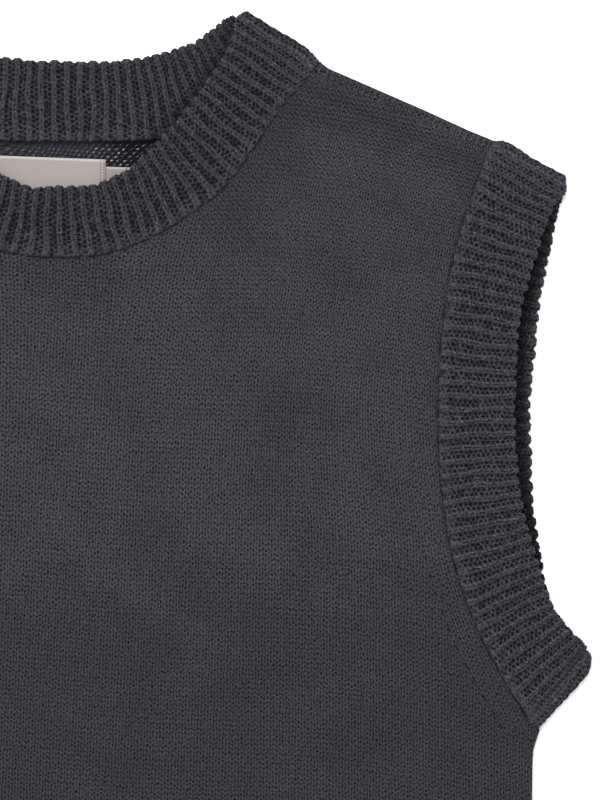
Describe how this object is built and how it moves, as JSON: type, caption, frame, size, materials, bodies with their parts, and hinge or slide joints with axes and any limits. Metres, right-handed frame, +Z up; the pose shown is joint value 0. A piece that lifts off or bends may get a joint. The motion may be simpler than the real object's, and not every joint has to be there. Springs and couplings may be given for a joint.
{
  "type": "knitted sweater vest",
  "caption": "Child's sleeveless fine-knit vest laid flat: plain jersey front and back, ribbed crew neckband, ribbed armhole bands and a ribbed hem.",
  "frame": {"origin": "under the middle of the flat garment, on the surface that it lies on", "axes": "+Z up from the surface, +Y from the hem towards the neck, +X towards the wearer's left"},
  "size_m": [0.352, 0.424, 0.0058],
  "materials": {
    "jersey": "charcoal grey fine-gauge plain knit, matt, slightly fuzzy",
    "jersey_inside": "purl side of the same knit, near black in shadow",
    "rib": "charcoal grey one-by-one rib of the same yarn, matt",
    "label_tape": "blank beige woven tape, matt"
  },
  "bodies": {
    "root": {"back_panel": "jersey_inside", "front_panel": "jersey", "neckband": "rib", "armhole_band_left": "rib", "armhole_band_right": "rib", "hem_back": "rib", "hem_front": "rib", "label": "label_tape", "size_tab": "label_tape"}
  },
  "joints": []
}
